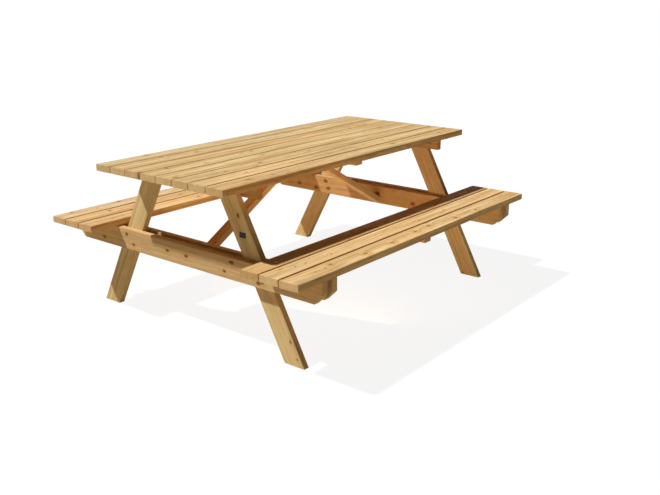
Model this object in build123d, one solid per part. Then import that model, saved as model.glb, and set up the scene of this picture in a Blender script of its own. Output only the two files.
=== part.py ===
from build123d import *
from collections import defaultdict
from dataclasses import dataclass
from functools import cache
import math
import os

# A-frame picnic table with two benches fixed to its frame, screwed together from planed pine.
# Millimetres, +Z up. X runs along the table and -Y is the front bench.
# The origin is on the ground under the middle of the tabletop.

os.makedirs("parts", exist_ok=True)

# Timber sections
BOARD_LENGTH = 1800.0
BOARD_WIDTH = 95.0
BOARD_THICKNESS = 30.0
LEG_WIDTH = 95.0
LEG_THICKNESS = 30.0
BEARER_WIDTH = 98.0
BEARER_THICKNESS = 30.0
TOP_BEARER_WIDTH = 50.0
TOP_BEARER_THICKNESS = 30.0
BATTEN_WIDTH = 50.0
BATTEN_THICKNESS = 22.0
BRACE_WIDTH = 50.0
BRACE_THICKNESS = 30.0
EDGE_CHAMFER = 2.5

# Layout
TOP_HEIGHT = 740.0
TOP_BOARD_COUNT = 8
TOP_GAP = 4.0
SEAT_HEIGHT = 440.0
SEAT_BOARD_COUNT = 3
SEAT_GAP = 6.0
SEAT_LEG_GAP = 42.2
FRAME_OVERHANG = 141.0
FOOT_SPREAD = 1190.0
LEG_TOP_SPREAD = 435.0
BEARER_CHAMFER = 42.0
TOP_BEARER_INSET = 10.0
TOP_BATTEN_INSET = 24.0
SEAT_BATTEN_INSET = 12.0
BRACE_LIFT = 2.0

# Screws: one countersunk pattern with flat sides, its length follows the timber it holds
SCREW_SIDES = 8
SCREW_DIAMETER = 5.0
SCREW_HEAD_DIAMETER = 9.6
SCREW_COUNTERSINK = 90.0
SCREW_BITE = 22.0
SCREW_CLEARANCE = 0.1
TOP_BEARER_RECESS = 14.0
BRACE_RECESS = 8.0
LEG_SCREW_SPACING = 50.0
LEG_TOP_SCREW_SPACING = 26.0
BRACE_SCREW_SPACING = 30.0
BRACE_HEAD_SETBACK = 14.0

# Heights and faces that follow from the sizes above
TOP_UNDERSIDE = TOP_HEIGHT - BOARD_THICKNESS
SEAT_UNDERSIDE = SEAT_HEIGHT - BOARD_THICKNESS
BEARER_BOTTOM = SEAT_UNDERSIDE - BEARER_WIDTH
TOP_BATTEN_BOTTOM = TOP_UNDERSIDE - BATTEN_THICKNESS
SEAT_BATTEN_BOTTOM = SEAT_UNDERSIDE - BATTEN_THICKNESS
TOP_BEARER_BOTTOM = TOP_UNDERSIDE - TOP_BEARER_WIDTH
LEG_LEAN = (FOOT_SPREAD - LEG_TOP_SPREAD) / 2 / TOP_UNDERSIDE
LEG_HALF_ACROSS = LEG_WIDTH / 2 * math.hypot(1, LEG_LEAN)
FRAME_OUTER_FACE = BOARD_LENGTH / 2 - FRAME_OVERHANG
LEG_OUTER_FACE = FRAME_OUTER_FACE - BEARER_THICKNESS
LEG_INNER_FACE = LEG_OUTER_FACE - LEG_THICKNESS
FRAME_INNER_FACE = LEG_INNER_FACE - BEARER_THICKNESS
TOP_BEARER_FACE = LEG_INNER_FACE - TOP_BEARER_THICKNESS
TOP_WIDTH = TOP_BOARD_COUNT * BOARD_WIDTH + (TOP_BOARD_COUNT - 1) * TOP_GAP
SEAT_WIDTH = SEAT_BOARD_COUNT * BOARD_WIDTH + (SEAT_BOARD_COUNT - 1) * SEAT_GAP
SEAT_INNER_EDGE = FOOT_SPREAD / 2 - LEG_LEAN * SEAT_UNDERSIDE + LEG_HALF_ACROSS + SEAT_LEG_GAP
HALF_WIDTH = SEAT_INNER_EDGE + SEAT_WIDTH

ENDS = {"left": -1, "right": 1}
SIDES = {"front": -1, "rear": 1}


def turned(corners):
    """A turned shape with flat sides, from the (radius, height) corners of its outline, top to bottom."""
    outline = corners + [(-radius, height) for radius, height in reversed(corners)]
    span = max(radius for radius, _ in corners) * 2
    slab = extrude(Plane.XZ * Polygon(*outline, align=None), span, both=True)
    solid = slab
    for step in range(1, SCREW_SIDES // 2):
        solid = solid & Rot(0, 0, step * 360 / SCREW_SIDES) * slab
    return solid


@cache
def screw_shape(length):
    """A countersunk screw with its head's flat top at the origin and its end down."""
    head = SCREW_HEAD_DIAMETER / 2
    shank = SCREW_DIAMETER / 2
    neck = (head - shank) / math.tan(math.radians(SCREW_COUNTERSINK / 2))
    return turned([(head, 0), (shank, -neck), (shank, -length)])


@cache
def hole_shape(length, recess):
    """The room a screw needs, with a way in for its head from the surface above."""
    head = SCREW_HEAD_DIAMETER / 2 + SCREW_CLEARANCE
    shank = SCREW_DIAMETER / 2 + SCREW_CLEARANCE
    neck = (head - shank) / math.tan(math.radians(SCREW_COUNTERSINK / 2))
    mouth = recess + SCREW_HEAD_DIAMETER
    return turned([(head, mouth), (head, 0), (shank, -neck), (shank, -length - SCREW_CLEARANCE)])


@dataclass(frozen=True)
class Fixing:
    """One screw: where its head goes in, which way it points and what it joins."""

    group: str
    point: tuple
    direction: tuple
    through: float
    pieces: tuple
    recess: float = 0.0

    def length(self):
        """Length of the screw from its head's flat top to its end."""
        return self.through - self.recess + SCREW_BITE

    def place(self, solid):
        """Set a solid drawn at the origin on the fixing's line."""
        start = Vector(*self.point) + Vector(*self.direction) * self.recess
        return Plane(origin=start, z_dir=-Vector(*self.direction)) * solid

    def screw(self):
        """The screw in its place."""
        return self.place(screw_shape(self.length()))

    def hole(self):
        """The hole the screw sits in, in its place."""
        return self.place(hole_shape(self.length(), self.recess))


def eased(solid, direction):
    """Take the corners off the long edges of a plank that runs along a direction."""
    along = Axis((0, 0, 0), direction)
    return chamfer(solid.edges().filter_by(along), EDGE_CHAMFER)


def row(count, gap):
    """Middles of a row of boards about the middle of the row."""
    pitch = BOARD_WIDTH + gap
    return [(place - (count - 1) / 2) * pitch for place in range(count)]


def top_row():
    """Names and middles of the tabletop boards, front to rear."""
    return {f"top_board_{place + 1}": y for place, y in enumerate(row(TOP_BOARD_COUNT, TOP_GAP))}


def seat_row(side_name):
    """Names and middles of one bench's boards, from the table outwards."""
    side = SIDES[side_name]
    middle = SEAT_INNER_EDGE + SEAT_WIDTH / 2
    places = row(SEAT_BOARD_COUNT, SEAT_GAP)
    return {f"{side_name}_seat_board_{n + 1}": side * (middle + y) for n, y in enumerate(places)}


def board(y, top):
    """A full-length board lying flat with its upper face at a height."""
    blank = Box(BOARD_LENGTH, BOARD_WIDTH, BOARD_THICKNESS)
    return Pos(0, y, top - BOARD_THICKNESS / 2) * eased(blank, (1, 0, 0))


def leg_middle(z):
    """Distance of a leg's middle line from the table's middle plane at a height."""
    return FOOT_SPREAD / 2 - LEG_LEAN * z


def frame_plank(end, outer_face, thickness, outline):
    """A plank of an end frame, cut to an outline of (y, z) corners, with its outer face at a distance."""
    middle = Plane.YZ.offset(end * (outer_face - thickness / 2))
    return extrude(middle * Polygon(*outline, align=None), thickness / 2, both=True)


def leg(end, side):
    """A leaning leg cut level at the ground and under the tabletop."""
    edges = (-LEG_HALF_ACROSS, LEG_HALF_ACROSS)
    foot = [(leg_middle(0) + edge, 0) for edge in edges]
    head = [(leg_middle(TOP_UNDERSIDE) + edge, TOP_UNDERSIDE) for edge in reversed(edges)]
    outline = [(side * y, z) for y, z in foot + head]
    blank = frame_plank(end, LEG_OUTER_FACE, LEG_THICKNESS, outline)
    return eased(blank, (0, -side * LEG_LEAN, 1))


def seat_bearer(end, outer_face):
    """A bearer that carries both benches, with the lower corners of its ends cut off."""
    shoulder = BEARER_BOTTOM + BEARER_CHAMFER
    short = HALF_WIDTH - BEARER_CHAMFER
    half = [(HALF_WIDTH, SEAT_UNDERSIDE), (HALF_WIDTH, shoulder), (short, BEARER_BOTTOM)]
    outline = half + [(-y, z) for y, z in reversed(half)]
    return eased(frame_plank(end, outer_face, BEARER_THICKNESS, outline), (0, 1, 0))


def top_bearer(end):
    """A bearer on edge under the tabletop, against the inner faces of the legs."""
    length = TOP_WIDTH - 2 * TOP_BEARER_INSET
    blank = Box(TOP_BEARER_THICKNESS, length, TOP_BEARER_WIDTH)
    x = end * (LEG_INNER_FACE - TOP_BEARER_THICKNESS / 2)
    return Pos(x, 0, TOP_UNDERSIDE - TOP_BEARER_WIDTH / 2) * eased(blank, (0, 1, 0))


def batten(y_from, y_to, underside):
    """A flat batten across the middle of a row of boards."""
    blank = Box(BATTEN_WIDTH, y_to - y_from, BATTEN_THICKNESS)
    return Pos(0, (y_from + y_to) / 2, underside - BATTEN_THICKNESS / 2) * eased(blank, (0, 1, 0))


def brace_angle():
    """Slope of a brace that starts on the inner bearer and ends under the tabletop at the batten."""
    run = FRAME_INNER_FACE - BATTEN_WIDTH / 2
    rise = TOP_UNDERSIDE - BEARER_BOTTOM - BRACE_LIFT
    return math.acos(BRACE_THICKNESS / math.hypot(run, rise)) - math.atan2(run, rise)


def brace_underside(x):
    """Height of a brace's lower face at a distance from the table's middle."""
    return BEARER_BOTTOM + BRACE_LIFT + (FRAME_INNER_FACE - x) * math.tan(brace_angle())


def brace(end):
    """A diagonal brace with both ends cut plumb, against the bearer and against the batten."""
    plumb = BRACE_THICKNESS / math.cos(brace_angle())
    head = BATTEN_WIDTH / 2
    foot = FRAME_INNER_FACE
    lower = [(head, brace_underside(head)), (foot, brace_underside(foot))]
    outline = lower + [(x, z + plumb) for x, z in reversed(lower)]
    shape = Polygon(*[(end * x, z) for x, z in outline], align=None)
    blank = extrude(Plane.XZ * shape, BRACE_WIDTH / 2, both=True)
    return eased(blank, (-end, 0, math.tan(brace_angle())))


def build_pieces():
    """Every timber piece by its name, before its holes are drilled."""
    pieces = {name: board(y, TOP_HEIGHT) for name, y in top_row().items()}
    for side_name, side in SIDES.items():
        for name, y in seat_row(side_name).items():
            pieces[name] = board(y, SEAT_HEIGHT)
        seat_ends = [side * (SEAT_INNER_EDGE + SEAT_BATTEN_INSET), side * (HALF_WIDTH - SEAT_BATTEN_INSET)]
        pieces[f"{side_name}_seat_batten"] = batten(min(seat_ends), max(seat_ends), SEAT_UNDERSIDE)
    reach = TOP_WIDTH / 2 - TOP_BATTEN_INSET
    pieces["top_batten"] = batten(-reach, reach, TOP_UNDERSIDE)
    for end_name, end in ENDS.items():
        for side_name, side in SIDES.items():
            pieces[f"{end_name}_{side_name}_leg"] = leg(end, side)
        pieces[f"{end_name}_outer_bearer"] = seat_bearer(end, FRAME_OUTER_FACE)
        pieces[f"{end_name}_inner_bearer"] = seat_bearer(end, LEG_INNER_FACE)
        pieces[f"{end_name}_top_bearer"] = top_bearer(end)
        pieces[f"{end_name}_brace"] = brace(end)
    return pieces


def board_fixings():
    """Screws that hold the tabletop from below and the seats from above and below."""
    fixings = []
    for name, y in top_row().items():
        for end_name, end in ENDS.items():
            start = (end * (LEG_INNER_FACE - TOP_BEARER_THICKNESS / 2), y, TOP_BEARER_BOTTOM)
            held = (f"{end_name}_top_bearer", name)
            fixings.append(Fixing("top_bearer_screws", start, (0, 0, 1), TOP_BEARER_WIDTH, held,
                                  TOP_BEARER_RECESS))
        start = (0, y, TOP_BATTEN_BOTTOM)
        fixings.append(Fixing("top_batten_screws", start, (0, 0, 1), BATTEN_THICKNESS, ("top_batten", name)))
    bearer_lines = {"outer": FRAME_OUTER_FACE, "inner": LEG_INNER_FACE}
    for side_name in SIDES:
        for name, y in seat_row(side_name).items():
            start = (0, y, SEAT_BATTEN_BOTTOM)
            held = (f"{side_name}_seat_batten", name)
            fixings.append(Fixing("seat_batten_screws", start, (0, 0, 1), BATTEN_THICKNESS, held))
            for end_name, end in ENDS.items():
                for layer, face in bearer_lines.items():
                    start = (end * (face - BEARER_THICKNESS / 2), y, SEAT_HEIGHT)
                    held = (name, f"{end_name}_{layer}_bearer")
                    fixings.append(Fixing("seat_board_screws", start, (0, 0, -1), BOARD_THICKNESS, held))
    return fixings


def gap_near(y):
    """The middle of the gap between two tabletop boards that lies nearest to a place."""
    pitch = BOARD_WIDTH + TOP_GAP
    first = TOP_BOARD_COUNT / 2 % 1 * pitch
    return first + round((y - first) / pitch) * pitch


def leg_fixings():
    """Screws that clamp each leg between its bearers and to the top bearer."""
    fixings = []
    middle = BEARER_BOTTOM + BEARER_WIDTH / 2
    lean = math.atan(LEG_LEAN)
    top_middle = TOP_UNDERSIDE - TOP_BEARER_WIDTH / 2
    for end_name, end in ENDS.items():
        for side_name, side in SIDES.items():
            leg_name = f"{end_name}_{side_name}_leg"
            for step in (-1, 1):
                z = middle + step * LEG_SCREW_SPACING / 2 * math.cos(lean)
                start = (end * FRAME_OUTER_FACE, side * leg_middle(z), z)
                held = (f"{end_name}_outer_bearer", leg_name)
                fixings.append(Fixing("outer_leg_screws", start, (-end, 0, 0), BEARER_THICKNESS, held))
                y = leg_middle(middle) + step * LEG_SCREW_SPACING / 2 * math.cos(lean)
                z = middle + step * LEG_SCREW_SPACING / 2 * math.sin(lean)
                start = (end * FRAME_INNER_FACE, side * y, z)
                held = (f"{end_name}_inner_bearer", leg_name)
                fixings.append(Fixing("inner_leg_screws", start, (end, 0, 0), BEARER_THICKNESS, held))
                z = top_middle + step * LEG_TOP_SCREW_SPACING / 2
                start = (end * TOP_BEARER_FACE, side * gap_near(leg_middle(top_middle)), z)
                held = (f"{end_name}_top_bearer", leg_name)
                fixings.append(Fixing("leg_top_screws", start, (end, 0, 0), TOP_BEARER_THICKNESS, held))
    return fixings


def brace_fixings():
    """Screws through the inner bearer into each brace's foot and up through its head into the top."""
    fixings = []
    slope = math.tan(brace_angle())
    plumb = BRACE_THICKNESS / math.cos(brace_angle())
    foot = brace_underside(FRAME_INNER_FACE) + plumb / 2 + SCREW_BITE * slope / 2
    head_x = BATTEN_WIDTH / 2 + BRACE_HEAD_SETBACK
    head_z = brace_underside(head_x)
    for end_name, end in ENDS.items():
        brace_name = f"{end_name}_brace"
        for y in (-BRACE_SCREW_SPACING / 2, BRACE_SCREW_SPACING / 2):
            start = (end * LEG_INNER_FACE, y, foot)
            held = (f"{end_name}_inner_bearer", brace_name)
            fixings.append(Fixing("brace_foot_screws", start, (-end, 0, 0), BEARER_THICKNESS, held))
            board_name = min(top_row(), key=lambda name: abs(top_row()[name] - y))
            start = (end * head_x, y, head_z)
            fixings.append(Fixing("brace_head_screws", start, (0, 0, 1), TOP_UNDERSIDE - head_z,
                                  (brace_name, board_name), BRACE_RECESS))
    return fixings


def build():
    """Drill the timber for its screws and write one file for each piece or group of screws."""
    holes = defaultdict(list)
    screws = defaultdict(list)
    for fixing in board_fixings() + leg_fixings() + brace_fixings():
        screws[fixing.group].append(fixing.screw())
        hole = fixing.hole()
        for name in fixing.pieces:
            holes[name].append(hole)
    for name, solid in build_pieces().items():
        export_step(solid - holes[name], f"parts/{name}.step")
    for name, group in screws.items():
        export_step(Compound(children=group), f"parts/{name}.step")


build()
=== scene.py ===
"""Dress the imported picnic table: knotty pine planks, screws, a blank plate, a studio and the camera."""
import logging
import math
import operator
import random
from dataclasses import dataclass, field
from enum import Enum
from typing import Callable, Iterable, Sequence, Union

import bmesh
import bpy
from mathutils import Matrix, Vector


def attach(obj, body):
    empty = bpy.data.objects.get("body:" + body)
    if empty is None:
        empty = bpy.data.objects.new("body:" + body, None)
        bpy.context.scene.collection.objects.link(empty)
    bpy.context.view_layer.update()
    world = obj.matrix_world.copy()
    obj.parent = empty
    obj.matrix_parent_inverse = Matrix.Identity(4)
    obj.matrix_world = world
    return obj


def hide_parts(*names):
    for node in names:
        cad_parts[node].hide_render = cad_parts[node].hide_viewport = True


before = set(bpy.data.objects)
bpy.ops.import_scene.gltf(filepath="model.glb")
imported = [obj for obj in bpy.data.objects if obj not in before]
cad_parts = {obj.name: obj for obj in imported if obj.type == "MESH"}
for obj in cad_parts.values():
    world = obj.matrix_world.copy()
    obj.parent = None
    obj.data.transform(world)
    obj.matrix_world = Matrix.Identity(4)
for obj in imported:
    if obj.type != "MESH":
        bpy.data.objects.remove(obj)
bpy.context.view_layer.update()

LOG = logging.getLogger("picnic_table")
BODY = "root"
SIGNS = (-1, 1)
TOLERANCE = 1e-6
ALONG_X = Vector((1, 0, 0))
ALONG_Y = Vector((0, 1, 0))
ALONG_Z = Vector((0, 0, 1))
WHITE = (1.0, 1.0, 1.0, 1.0)
RISING = (0.0, 1.0)
FALLING = (1.0, 0.0)
NOISE_STEPS = (1.0, 1.7, 2.3)
NOISE_MIDDLE = (0.5, 0.5, 0.5)

Piece = bpy.types.Object
Socket = bpy.types.NodeSocket
Point = tuple[float, float, float]
Colour = tuple[float, float, float]
Span = tuple[float, float]
Value = Union[float, Sequence[float], Socket]
MeshPart = Union[bmesh.types.BMVert, bmesh.types.BMEdge, bmesh.types.BMFace]


class Slot(Enum):
    """The record's material slots."""

    TABLETOP = "tabletop_wood"
    BENCH = "bench_wood"
    FRAME = "frame_wood"
    SCREWS = "screws"
    PLATE = "plate"


class Side(Enum):
    """The table's long sides, by the sign of Y."""

    FRONT = -1
    REAR = 1


class End(Enum):
    """The table's ends, by the sign of X."""

    LEFT = -1
    RIGHT = 1


class Part(Enum):
    """The parts of a mesh that can be picked in edit mode."""

    CORNER = "VERT"
    EDGE = "EDGE"
    FACE = "FACE"


def deselect_all() -> None:
    """Leave every object unselected, in object mode."""
    if bpy.context.mode != "OBJECT":
        bpy.ops.object.mode_set(mode="OBJECT")
    bpy.ops.object.select_all(action="DESELECT")


def focus(piece: Piece) -> None:
    """Make one object the only selected one, and the active one.

    Args:
        piece: The object.
    """
    deselect_all()
    piece.select_set(True)
    bpy.context.view_layer.objects.active = piece


def pick(piece: Piece, kind: Part, wanted: Callable[[MeshPart], bool]) -> None:
    """Select in edit mode the parts of a mesh that a test accepts.

    Args:
        piece: The object that is being edited.
        kind: Whether corners, edges or faces are picked.
        wanted: Says of one of them whether it is selected.
    """
    bpy.ops.mesh.select_mode(type=kind.value)
    bpy.ops.mesh.select_all(action="DESELECT")
    mesh = bmesh.from_edit_mesh(piece.data)
    mesh.normal_update()
    parts = {Part.CORNER: mesh.verts, Part.EDGE: mesh.edges, Part.FACE: mesh.faces}
    for part in parts[kind]:
        if wanted(part):
            part.select_set(True)
    bmesh.update_edit_mesh(piece.data)


def edge_way(edge: bmesh.types.BMEdge) -> Vector:
    """The direction in which an edge runs."""
    return (edge.verts[1].co - edge.verts[0].co).normalized()


def just_added(name: str) -> Piece:
    """Name the object that was added last, and hand it over."""
    bpy.context.active_object.name = name
    return bpy.context.active_object


def box(name: str, size: Point) -> Piece:
    """Add a box about the origin and leave it in edit mode.

    Args:
        name: The box's name.
        size: Its size along X, Y and Z.

    Returns:
        The box.
    """
    deselect_all()
    bpy.ops.mesh.primitive_cube_add(size=1.0, location=(0, 0, 0))
    piece = just_added(name)
    bpy.ops.object.mode_set(mode="EDIT")
    bpy.ops.transform.resize(value=size, center_override=(0, 0, 0))
    return piece


def turned(name: str, outline: Sequence[Span], sides: int) -> Piece:
    """Model a closed round solid about Z by extruding and resizing a filled circle.

    Args:
        name: The object's name.
        outline: Radius and height of each ring, from one end to the other.
        sides: How many sides each ring has.

    Returns:
        The solid.
    """
    radius, height = outline[0]
    deselect_all()
    start = (0, 0, height)
    bpy.ops.mesh.primitive_circle_add(vertices=sides, radius=radius, fill_type="NGON", location=start)
    solid = just_added(name)
    bpy.ops.object.transform_apply()
    bpy.ops.object.mode_set(mode="EDIT")
    for next_radius, next_height in outline[1:]:
        bpy.ops.mesh.extrude_region_move(TRANSFORM_OT_translate={"value": (0, 0, next_height - height)})
        share = next_radius / radius
        bpy.ops.transform.resize(value=(share, share, 1), center_override=(0, 0, next_height))
        radius, height = next_radius, next_height
    bpy.ops.mesh.select_all(action="SELECT")
    bpy.ops.mesh.normals_make_consistent(inside=False)
    bpy.ops.object.mode_set(mode="OBJECT")
    return solid


def copy_of(piece: Piece, name: str, place: Matrix) -> Piece:
    """Copy a piece with a mesh of its own and set it in place, its object left at the origin.

    Args:
        piece: What is copied.
        name: The copy's name.
        place: Where it goes and how it is turned.

    Returns:
        The copy.
    """
    copy = piece.copy()
    copy.data = piece.data.copy()
    copy.name = name
    copy.data.name = name
    bpy.context.scene.collection.objects.link(copy)
    focus(copy)
    copy.matrix_world = place
    bpy.ops.object.transform_apply()
    return copy


def joined(pieces: Sequence[Piece]) -> Piece:
    """Join pieces into the first of them.

    Args:
        pieces: What is joined, which may be one piece alone.

    Returns:
        The first piece, with all their meshes.
    """
    focus(pieces[0])
    for piece in pieces:
        piece.select_set(True)
    if len(pieces) > 1:
        bpy.ops.object.join()
    return pieces[0]


def discard(pieces: Iterable[Piece]) -> None:
    """Remove objects that only served to make others."""
    for piece in pieces:
        bpy.data.objects.remove(piece)


@dataclass(frozen=True)
class Pattern:
    """A noise: how much finer than a metre it is each way, its detail and the span of it that counts."""

    stretch: Point
    detail: float
    span: Span = (0.0, 1.0)


class NodeSheet:
    """A node tree being laid out, with short ways to add what the finishes need."""

    # A mix node's colour sockets come after those for numbers and vectors.
    mix_colours = slice(6, 8)
    mix_answer = 2

    def __init__(self, tree: bpy.types.NodeTree) -> None:
        """Start on an empty tree."""
        self.tree = tree
        tree.nodes.clear()

    def feed(self, socket: Socket, value: Value) -> None:
        """Link a socket to another, or set its value.

        Args:
            socket: The input.
            value: The output that it is linked to, or the value.
        """
        if isinstance(value, Socket):
            self.tree.links.new(value, socket)
        else:
            socket.default_value = value

    def add(self, kind: str, *values: Value, mode: tuple = (), **inputs: Value) -> bpy.types.Node:
        """Add a node and feed its inputs, in order or by name with spaces written as underscores.

        Args:
            kind: The node's type.
            *values: What its first inputs are given.
            mode: A setting that is made first, by its name and value.
            **inputs: What other inputs are given.

        Returns:
            The node.
        """
        node = self.tree.nodes.new(kind)
        if mode:
            setattr(node, *mode)
        for socket, value in zip(node.inputs, values):
            self.feed(socket, value)
        for name, value in inputs.items():
            self.feed(node.inputs[name.replace("_", " ")], value)
        return node

    def maths(self, operation: str, *values: Value) -> Socket:
        """Work out a number from others."""
        return self.add("ShaderNodeMath", *values, mode=("operation", operation)).outputs[0]

    def vector(self, operation: str, *values: Value, output: str = "Vector") -> Socket:
        """Work out a vector from others, or the number that output asks for."""
        return self.add("ShaderNodeVectorMath", *values, mode=("operation", operation)).outputs[output]

    def times(self, first: Value, second: Value) -> Socket:
        """Multiply two numbers."""
        return self.maths("MULTIPLY", first, second)

    def plus(self, first: Value, second: Value) -> Socket:
        """Add two numbers."""
        return self.maths("ADD", first, second)

    def span(self, value: Value, source: Span, target: Span) -> Socket:
        """Carry a value smoothly from one span to another, and keep it there."""
        smooth = ("interpolation_type", "SMOOTHSTEP")
        return self.add("ShaderNodeMapRange", value, *source, *target, mode=smooth).outputs[0]

    def mixed(self, share: Value, first: Value, second: Value) -> Socket:
        """Mix two colours.

        Args:
            share: The second colour's share.
            first: The colour at 0.
            second: The colour at 1.

        Returns:
            The mix.
        """
        node = self.add("ShaderNodeMix", share, mode=("data_type", "RGBA"))
        for socket, colour in zip(node.inputs[self.mix_colours], (first, second)):
            self.feed(socket, (*colour, 1.0) if isinstance(colour, tuple) else colour)
        return node.outputs[self.mix_answer]

    def noise(self, place: Value, pattern: Pattern, shift: float) -> bpy.types.Node:
        """Add a noise over coordinates in metres, moved by a shift so that planks differ."""
        where = self.vector("MULTIPLY_ADD", place, pattern.stretch, [step * shift for step in NOISE_STEPS])
        return self.add("ShaderNodeTexNoise", Vector=where, Scale=1.0, Detail=pattern.detail)

    def bumped(self, height: Value, strength: float, depth: float) -> Socket:
        """Turn a height into a slightly uneven surface."""
        return self.add("ShaderNodeBump", Height=height, Strength=strength, Distance=depth).outputs[0]

    def surface(self, **inputs: Value) -> None:
        """End a material in one shader whose inputs are named."""
        shader = self.add("ShaderNodeBsdfPrincipled", **inputs)
        self.add("ShaderNodeOutputMaterial", Surface=shader.outputs[0])


def new_material(name: str) -> tuple[bpy.types.Material, NodeSheet]:
    """Start a material.

    Args:
        name: The material's name.

    Returns:
        The material and its empty node tree.
    """
    material = bpy.data.materials.new(name)
    material.use_nodes = True
    return material, NodeSheet(material.node_tree)


@dataclass(frozen=True)
class Knot:
    """A knot through a plank, placed from the plank's middle along and across it, in metres."""

    along: float
    across: float
    radius: float


@dataclass(frozen=True)
class Cut:
    """A cut through a plank in the plank's own directions: what lies beyond the plane goes."""

    normal: Point
    reach: float


@dataclass
class Timber:
    """A planed plank: which node it stands for, where it lies, how big it is and how its ends are cut.

    Its seam shades give the sides, by the sign across, where the next board lies close, and how dark the
    painted shade along each is.
    """

    node: str
    slot: Slot
    centre: Vector
    along: Vector
    across: Vector
    length: float
    width: float
    thickness: float
    cuts: tuple[Cut, ...] = ()
    seam_shades: tuple[tuple[int, float], ...] = ()

    def size(self) -> Point:
        """Its length, width and thickness."""
        return (self.length, self.width, self.thickness)

    def place(self) -> Matrix:
        """Where the plank lies, as a matrix from its own directions to the table's."""
        turn = Matrix((self.along, self.across, self.along.cross(self.across))).transposed()
        return Matrix.Translation(self.centre) @ turn.to_4x4()

    def holds(self, point: Vector, margin: float = 0.001) -> bool:
        """Whether a point is inside the plank by at least a margin."""
        own = self.place().inverted() @ point
        return all(abs(part) < whole / 2 - margin for part, whole in zip(own, self.size()))


# Knots that are seen, placed along and across from the middle of their plank.
SEEN_KNOTS: dict[str, tuple[Span, ...]] = {
    "top_board_1": ((-0.703, 0.006), (-0.574, -0.007), (0.316, 0.008)),
    "top_board_3": ((-0.428, 0.002),),
    "top_board_4": ((-0.860, -0.030),),
    "top_board_5": ((-0.770, 0.030),),
    "top_board_6": ((-0.893, -0.041),),
    "front_seat_board_2": ((-0.807, 0.027), (-0.180, 0.023), (0.118, -0.010), (0.362, 0.005)),
    "front_seat_board_3": (
        (-0.637, 0.012), (-0.438, -0.012), (-0.244, -0.012), (-0.043, 0.004),
        (0.075, 0.010), (0.271, -0.016), (0.460, -0.018),
    ),
    "rear_seat_board_1": ((-0.208, -0.009), (-0.143, 0.015)),
    "rear_seat_board_2": ((-0.530, -0.003), (-0.237, -0.005), (-0.141, 0.018)),
    "rear_seat_board_3": ((-0.809, 0.031), (-0.533, 0.028)),
    "left_front_leg": ((-0.379, -0.030),),
    "left_outer_bearer": (
        (0.575, -0.020), (0.357, -0.019), (0.401, 0.024), (0.121, 0.001), (-0.002, 0.0),
        (-0.281, 0.029), (-0.238, -0.018), (-0.433, -0.027), (-0.454, -0.022),
    ),
    "right_inner_bearer": (
        (0.374, 0.023), (0.353, -0.0175), (-0.001, 0.007), (-0.240, -0.016), (0.4465, -0.025),
        (0.578, -0.017),
    ),
}

# The span of radius of the seen knots on planks that differ from the rest.
KNOT_SIZES: dict[str, Span] = {
    "front_seat_board_2": (0.0030, 0.0042),
    "left_front_leg": (0.0034, 0.0038),
    "right_inner_bearer": (0.0085, 0.0110),
}

# How much lighter, darker or warmer a plank is than plain pine: mostly its own tone, but on some planks
# painted shade or painted light.
TONES_AND_PAINTED_LIGHT: dict[str, Colour] = {
    "top_board_1": (1.02, 1.02, 1.03),
    "top_board_2": (1.10, 1.11, 1.13),
    "top_board_3": (1.03, 1.03, 1.03),
    "top_board_4": (1.11, 1.16, 1.21),
    "top_board_5": (1.07, 1.10, 1.13),
    "top_board_6": (1.06, 1.08, 1.11),
    "top_board_7": (1.11, 1.16, 1.25),
    "top_board_8": (1.00, 1.08, 1.19),
    # front_seat_board_1 is darkened and reddened as painted shade, for the tabletop's shadow over it.
    "front_seat_board_1": (0.93, 0.85, 0.80),
    "front_seat_board_2": (1.16, 1.18, 1.22),
    "front_seat_board_3": (1.08, 1.08, 1.08),
    "rear_seat_board_1": (1.12, 1.09, 1.09),
    "rear_seat_board_2": (1.09, 1.02, 1.00),
    "rear_seat_board_3": (1.06, 1.09, 1.26),
    "left_front_leg": (1.08, 1.17, 1.21),
    "left_rear_leg": (1.04, 1.12, 1.15),
    "right_front_leg": (0.99, 1.01, 1.15),
    "right_rear_leg": (1.02, 1.10, 1.14),
    "left_outer_bearer": (0.97, 0.97, 0.97),
    # The top bearers are darkened and reddened as painted shade, for the shade under the tabletop.
    "left_top_bearer": (0.87, 0.69, 0.52),
    "right_top_bearer": (0.85, 0.73, 0.60),
    # left_brace is lightened as painted light on its shaded side.
    "left_brace": (1.24, 1.18, 1.12),
    "right_brace": (1.08, 1.08, 1.12),
    # right_inner_bearer is darkened and reddened as painted shade.
    "right_inner_bearer": (0.83, 0.70, 0.63),
}


@dataclass(frozen=True)
class Figure:
    """How strongly the grain shows on one kind of plank: streaks, rings, and the knots' cores and rims."""

    streaks: float
    rings: float
    core: float
    rim: float


FIGURES: dict[Slot, Figure] = {
    Slot.TABLETOP: Figure(0.30, 1.0, 0.66, 0.30),
    Slot.BENCH: Figure(0.24, 1.0, 0.72, 0.35),
    Slot.FRAME: Figure(0.13, 0.6, 0.92, 0.55),
}


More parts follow.
